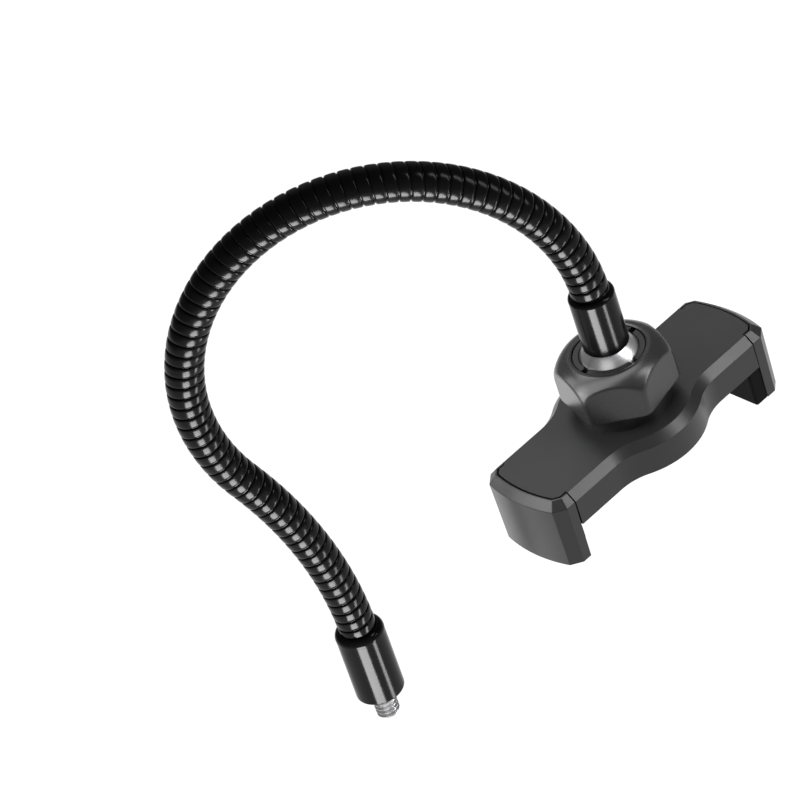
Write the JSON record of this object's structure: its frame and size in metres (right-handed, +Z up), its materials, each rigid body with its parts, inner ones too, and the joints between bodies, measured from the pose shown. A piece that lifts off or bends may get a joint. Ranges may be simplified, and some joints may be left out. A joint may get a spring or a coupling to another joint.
{
  "type": "gooseneck selfie stick",
  "caption": "Bendable gooseneck arm with a tripod stud at its foot and a ball at its tip, locked by a hexagonal nut into a sprung phone clamp.",
  "frame": {"origin": "centre of the stud's shoulder, where the lower sleeve seats on a tripod plate or handle", "axes": "+Z up the stud's axis into the arm, +X along the phone clamp's length, +Y to the clamp's back edge"},
  "size_m": [0.1291, 0.0851, 0.1677],
  "materials": {
    "bright_steel": "turned bright steel",
    "bright_ball": "fine satin polish",
    "plated_steel": "zinc plated",
    "black_sleeve": "gloss black",
    "black_neck": "gloss black",
    "black_moulding": "fine satin",
    "black_nut": "satin",
    "rubber": "matt"
  },
  "bodies": {
    "foot": {"mount_stud": "bright_steel", "lower_sleeve": "black_sleeve", "gooseneck": "black_neck"},
    "arm_tip": {"upper_sleeve": "black_sleeve"},
    "ball": {"ball_stud": "bright_ball"},
    "clamp": {"top_cover": "black_moulding", "back_plate": "black_moulding", "cover_screws": "plated_steel", "socket_pad": "rubber", "phone_pad": "rubber", "right_front_spring": "plated_steel", "right_rear_spring": "plated_steel", "left_front_spring": "plated_steel", "left_rear_spring": "plated_steel"},
    "nut": {"lock_nut": "black_nut"},
    "right_jaw": {"right_jaw": "black_moulding", "right_grip_pad": "rubber"},
    "left_jaw": {"left_jaw": "black_moulding", "left_grip_pad": "rubber"}
  },
  "joints": [
    {"name": "neck_bend", "type": "hinge", "parent": "foot", "child": "arm_tip", "pos_m": [-0.01066, 0.00774, 0.12867], "axis": [-0.5878, -0.809, 0], "range_deg": [-8, 60], "deforming": ["gooseneck"]},
    {"name": "ball_swivel", "type": "hinge", "parent": "arm_tip", "child": "ball", "pos_m": [0.0671, -0.04875, 0.07966], "axis": [0, 0, 1], "continuous": true},
    {"name": "ball_tilt", "type": "hinge", "parent": "ball", "child": "clamp", "pos_m": [0.0671, -0.04875, 0.07966], "axis": [1, 0, 0], "range_deg": [-18, 18]},
    {"name": "nut_turn", "type": "hinge", "parent": "clamp", "child": "nut", "pos_m": [0.0671, -0.04875, 0.07966], "axis": [0, 0, 1], "range_deg": [0, 270]},
    {"name": "right_jaw_slide", "type": "slide", "parent": "clamp", "child": "right_jaw", "axis": [1, 0, 0], "range_m": [0, 0.014], "stiffness_N_per_m": 350, "springref_m": -0.014, "deforming": ["right_front_spring", "right_rear_spring"]},
    {"name": "left_jaw_slide", "type": "slide", "parent": "clamp", "child": "left_jaw", "axis": [-1, 0, 0], "range_m": [0, 0.014], "stiffness_N_per_m": 350, "springref_m": -0.014, "deforming": ["left_front_spring", "left_rear_spring"]}
  ]
}
